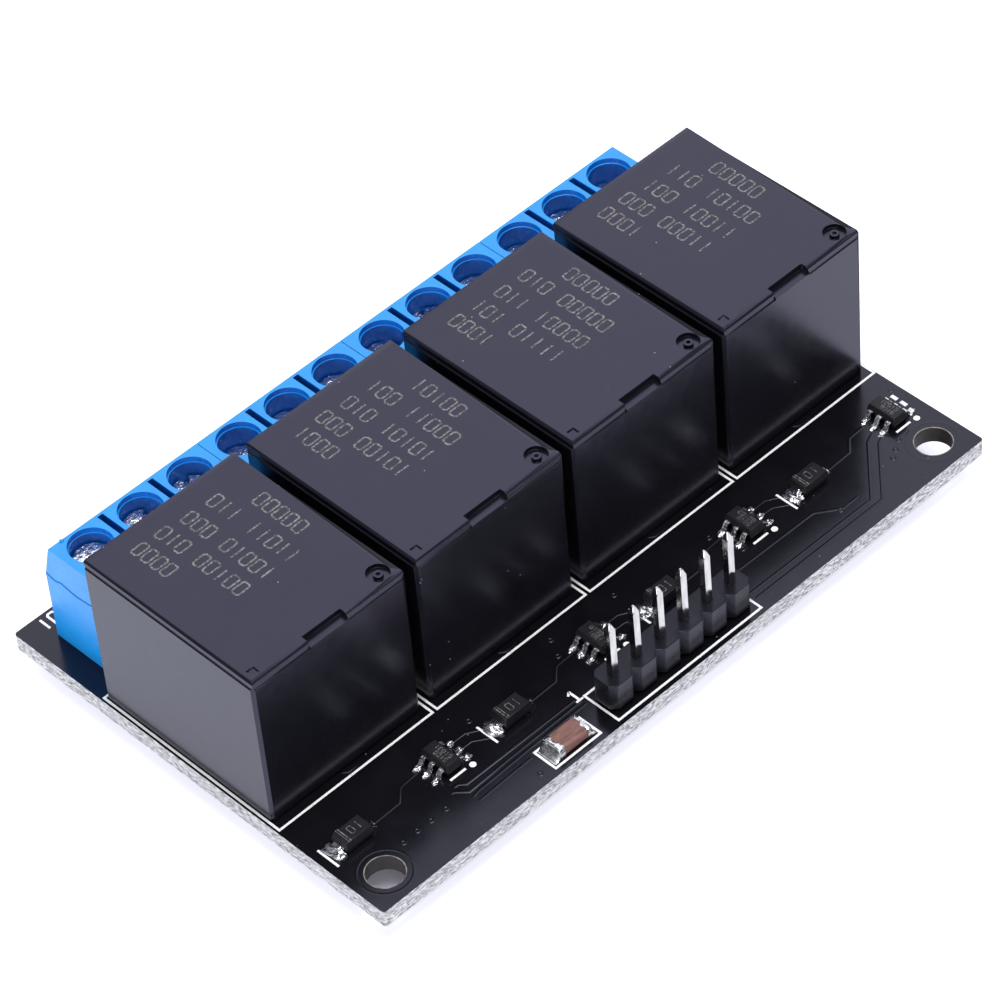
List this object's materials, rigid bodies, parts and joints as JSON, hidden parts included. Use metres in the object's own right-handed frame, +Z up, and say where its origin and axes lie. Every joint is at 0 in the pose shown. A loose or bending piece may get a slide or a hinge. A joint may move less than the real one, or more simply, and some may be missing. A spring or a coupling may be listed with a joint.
{
  "type": "relay module board",
  "caption": "Black circuit board with a row of sealed cube relays, blue screw terminals behind them and a straight pin header with small driver parts in front.",
  "frame": {"origin": "centre of the board outline, on the plane that the solder tails stand on", "axes": "+X along the relay row, +Y from the pin header to the screw terminals, +Z up"},
  "size_m": [0.0654, 0.0418, 0.0186],
  "materials": {
    "board_mask": "black solder mask over glass laminate, bare fibre at the cut edges",
    "print_white": "printed white lines",
    "solder": "soldered fillets",
    "header_plastic": "moulded black",
    "tin_plate": "bright tin plate",
    "zinc_plate": "bright zinc plate",
    "package_epoxy": "moulded black epoxy",
    "capacitor_ceramic": "brown ceramic",
    "relay_plastic": "satin black moulding",
    "relay_inner_plastic": "black moulding",
    "soft_iron": "plated soft iron",
    "winding_wire": "enamelled copper wire",
    "contact_brass": "bare brass",
    "terminal_blue": "moulded blue"
  },
  "bodies": {
    "root": {"circuit_board": "board_mask", "silkscreen": "print_white", "solder_joints": "solder", "header_strip": "header_plastic", "header_pins": "tin_plate", "diode_bodies": "package_epoxy", "driver_bodies": "package_epoxy", "capacitor_body": "capacitor_ceramic", "smd_leads": "tin_plate", "relay_cover_1": "relay_plastic", "relay_cover_2": "relay_plastic", "relay_cover_3": "relay_plastic", "relay_cover_4": "relay_plastic", "relay_bases": "relay_inner_plastic", "relay_yokes": "soft_iron", "relay_cores": "soft_iron", "relay_bobbins": "relay_inner_plastic", "relay_windings": "winding_wire", "relay_coil_pins": "tin_plate", "relay_open_contacts": "contact_brass", "relay_closed_contacts": "contact_brass", "terminal_housing_1": "terminal_blue", "terminal_housing_2": "terminal_blue", "terminal_housing_3": "terminal_blue", "terminal_housing_4": "terminal_blue", "clamp_bodies_1": "tin_plate", "clamp_bodies_2": "tin_plate", "clamp_bodies_3": "tin_plate", "clamp_bodies_4": "tin_plate"},
    "armature_1": {"relay_armature_1": "soft_iron"},
    "armature_2": {"relay_armature_2": "soft_iron"},
    "armature_3": {"relay_armature_3": "soft_iron"},
    "armature_4": {"relay_armature_4": "soft_iron"},
    "plate_1": {"pressure_plate_1": "zinc_plate"},
    "screw_1": {"terminal_screw_1": "zinc_plate"},
    "plate_2": {"pressure_plate_2": "zinc_plate"},
    "screw_2": {"terminal_screw_2": "zinc_plate"},
    "plate_3": {"pressure_plate_3": "zinc_plate"},
    "screw_3": {"terminal_screw_3": "zinc_plate"},
    "plate_4": {"pressure_plate_4": "zinc_plate"},
    "screw_4": {"terminal_screw_4": "zinc_plate"},
    "plate_5": {"pressure_plate_5": "zinc_plate"},
    "screw_5": {"terminal_screw_5": "zinc_plate"},
    "plate_6": {"pressure_plate_6": "zinc_plate"},
    "screw_6": {"terminal_screw_6": "zinc_plate"},
    "plate_7": {"pressure_plate_7": "zinc_plate"},
    "screw_7": {"terminal_screw_7": "zinc_plate"},
    "plate_8": {"pressure_plate_8": "zinc_plate"},
    "screw_8": {"terminal_screw_8": "zinc_plate"},
    "plate_9": {"pressure_plate_9": "zinc_plate"},
    "screw_9": {"terminal_screw_9": "zinc_plate"},
    "plate_10": {"pressure_plate_10": "zinc_plate"},
    "screw_10": {"terminal_screw_10": "zinc_plate"},
    "plate_11": {"pressure_plate_11": "zinc_plate"},
    "screw_11": {"terminal_screw_11": "zinc_plate"},
    "plate_12": {"pressure_plate_12": "zinc_plate"},
    "screw_12": {"terminal_screw_12": "zinc_plate"}
  },
  "joints": [
    {"name": "relay_1_armature", "type": "hinge", "parent": "root", "child": "armature_1", "pos_m": [-0.0246, -0.0069, 0.0144], "axis": [1, 0, 0], "range_deg": [-3, 0], "stiffness_Nm_per_rad": 0.02, "springref_deg": 2.86},
    {"name": "relay_2_armature", "type": "hinge", "parent": "root", "child": "armature_2", "pos_m": [-0.0082, -0.0069, 0.0144], "axis": [1, 0, 0], "range_deg": [-3, 0], "stiffness_Nm_per_rad": 0.02, "springref_deg": 2.86},
    {"name": "relay_3_armature", "type": "hinge", "parent": "root", "child": "armature_3", "pos_m": [0.0082, -0.0069, 0.0144], "axis": [1, 0, 0], "range_deg": [-3, 0], "stiffness_Nm_per_rad": 0.02, "springref_deg": 2.86},
    {"name": "relay_4_armature", "type": "hinge", "parent": "root", "child": "armature_4", "pos_m": [0.0246, -0.0069, 0.0144], "axis": [1, 0, 0], "range_deg": [-3, 0], "stiffness_Nm_per_rad": 0.02, "springref_deg": 2.86},
    {"name": "pole_1_plate_travel", "type": "slide", "parent": "root", "child": "plate_1", "axis": [0, 0, 1], "range_m": [-0.00139, 0.00129]},
    {"name": "pole_1_screw_turn", "type": "hinge", "parent": "plate_1", "child": "screw_1", "pos_m": [-0.02794, 0.01522, 0.0071], "axis": [0, 0, 1], "range_deg": [-1116, 1036]},
    {"name": "pole_2_plate_travel", "type": "slide", "parent": "root", "child": "plate_2", "axis": [0, 0, 1], "range_m": [-0.0012, 0.00149]},
    {"name": "pole_2_screw_turn", "type": "hinge", "parent": "plate_2", "child": "screw_2", "pos_m": [-0.02286, 0.01522, 0.0069], "axis": [0, 0, 1], "range_deg": [-961, 1196]},
    {"name": "pole_3_plate_travel", "type": "slide", "parent": "root", "child": "plate_3", "axis": [0, 0, 1], "range_m": [-0.0011, 0.00159]},
    {"name": "pole_3_screw_turn", "type": "hinge", "parent": "plate_3", "child": "screw_3", "pos_m": [-0.01778, 0.01522, 0.0068], "axis": [0, 0, 1], "range_deg": [-881, 1276]},
    {"name": "pole_4_plate_travel", "type": "slide", "parent": "root", "child": "plate_4", "axis": [0, 0, 1], "range_m": [-0.00045, 0.00224]},
    {"name": "pole_4_screw_turn", "type": "hinge", "parent": "plate_4", "child": "screw_4", "pos_m": [-0.0127, 0.01522, 0.00615], "axis": [0, 0, 1], "range_deg": [-361, 1796]},
    {"name": "pole_5_plate_travel", "type": "slide", "parent": "root", "child": "plate_5", "axis": [0, 0, 1], "range_m": [-0.00059, 0.0021]},
    {"name": "pole_5_screw_turn", "type": "hinge", "parent": "plate_5", "child": "screw_5", "pos_m": [-0.00762, 0.01522, 0.0063], "axis": [0, 0, 1], "range_deg": [-476, 1681]},
    {"name": "pole_6_plate_travel", "type": "slide", "parent": "root", "child": "plate_6", "axis": [0, 0, 1], "range_m": [-0.0008, 0.00189]},
    {"name": "pole_6_screw_turn", "type": "hinge", "parent": "plate_6", "child": "screw_6", "pos_m": [-0.00254, 0.01522, 0.0065], "axis": [0, 0, 1], "range_deg": [-641, 1516]},
    {"name": "pole_7_plate_travel", "type": "slide", "parent": "root", "child": "plate_7", "axis": [0, 0, 1], "range_m": [-0.0007, 0.00199]},
    {"name": "pole_7_screw_turn", "type": "hinge", "parent": "plate_7", "child": "screw_7", "pos_m": [0.00254, 0.01522, 0.0064], "axis": [0, 0, 1], "range_deg": [-561, 1596]},
    {"name": "pole_8_plate_travel", "type": "slide", "parent": "root", "child": "plate_8", "axis": [0, 0, 1], "range_m": [-0.00089, 0.00179]},
    {"name": "pole_8_screw_turn", "type": "hinge", "parent": "plate_8", "child": "screw_8", "pos_m": [0.00762, 0.01522, 0.0066], "axis": [0, 0, 1], "range_deg": [-716, 1436]},
    {"name": "pole_9_plate_travel", "type": "slide", "parent": "root", "child": "plate_9", "axis": [0, 0, 1], "range_m": [-0.0007, 0.00199]},
    {"name": "pole_9_screw_turn", "type": "hinge", "parent": "plate_9", "child": "screw_9", "pos_m": [0.0127, 0.01522, 0.0064], "axis": [0, 0, 1], "range_deg": [-561, 1596]},
    {"name": "pole_10_plate_travel", "type": "slide", "parent": "root", "child": "plate_10", "axis": [0, 0, 1], "range_m": [-0.00059, 0.0021]},
    {"name": "pole_10_screw_turn", "type": "hinge", "parent": "plate_10", "child": "screw_10", "pos_m": [0.01778, 0.01522, 0.0063], "axis": [0, 0, 1], "range_deg": [-476, 1681]},
    {"name": "pole_11_plate_travel", "type": "slide", "parent": "root", "child": "plate_11", "axis": [0, 0, 1], "range_m": [-0.0008, 0.00189]},
    {"name": "pole_11_screw_turn", "type": "hinge", "parent": "plate_11", "child": "screw_11", "pos_m": [0.02286, 0.01522, 0.0065], "axis": [0, 0, 1], "range_deg": [-641, 1516]},
    {"name": "pole_12_plate_travel", "type": "slide", "parent": "root", "child": "plate_12", "axis": [0, 0, 1], "range_m": [-0.00049, 0.0022]},
    {"name": "pole_12_screw_turn", "type": "hinge", "parent": "plate_12", "child": "screw_12", "pos_m": [0.02794, 0.01522, 0.0062], "axis": [0, 0, 1], "range_deg": [-396, 1761]}
  ],
  "couplings": [
    {"joint": "pole_1_screw_turn", "follows": "pole_1_plate_travel", "rad_per_m": 13963},
    {"joint": "pole_2_screw_turn", "follows": "pole_2_plate_travel", "rad_per_m": 13963},
    {"joint": "pole_3_screw_turn", "follows": "pole_3_plate_travel", "rad_per_m": 13963},
    {"joint": "pole_4_screw_turn", "follows": "pole_4_plate_travel", "rad_per_m": 13963},
    {"joint": "pole_5_screw_turn", "follows": "pole_5_plate_travel", "rad_per_m": 13963},
    {"joint": "pole_6_screw_turn", "follows": "pole_6_plate_travel", "rad_per_m": 13963},
    {"joint": "pole_7_screw_turn", "follows": "pole_7_plate_travel", "rad_per_m": 13963},
    {"joint": "pole_8_screw_turn", "follows": "pole_8_plate_travel", "rad_per_m": 13963},
    {"joint": "pole_9_screw_turn", "follows": "pole_9_plate_travel", "rad_per_m": 13963},
    {"joint": "pole_10_screw_turn", "follows": "pole_10_plate_travel", "rad_per_m": 13963},
    {"joint": "pole_11_screw_turn", "follows": "pole_11_plate_travel", "rad_per_m": 13963},
    {"joint": "pole_12_screw_turn", "follows": "pole_12_plate_travel", "rad_per_m": 13963}
  ]
}
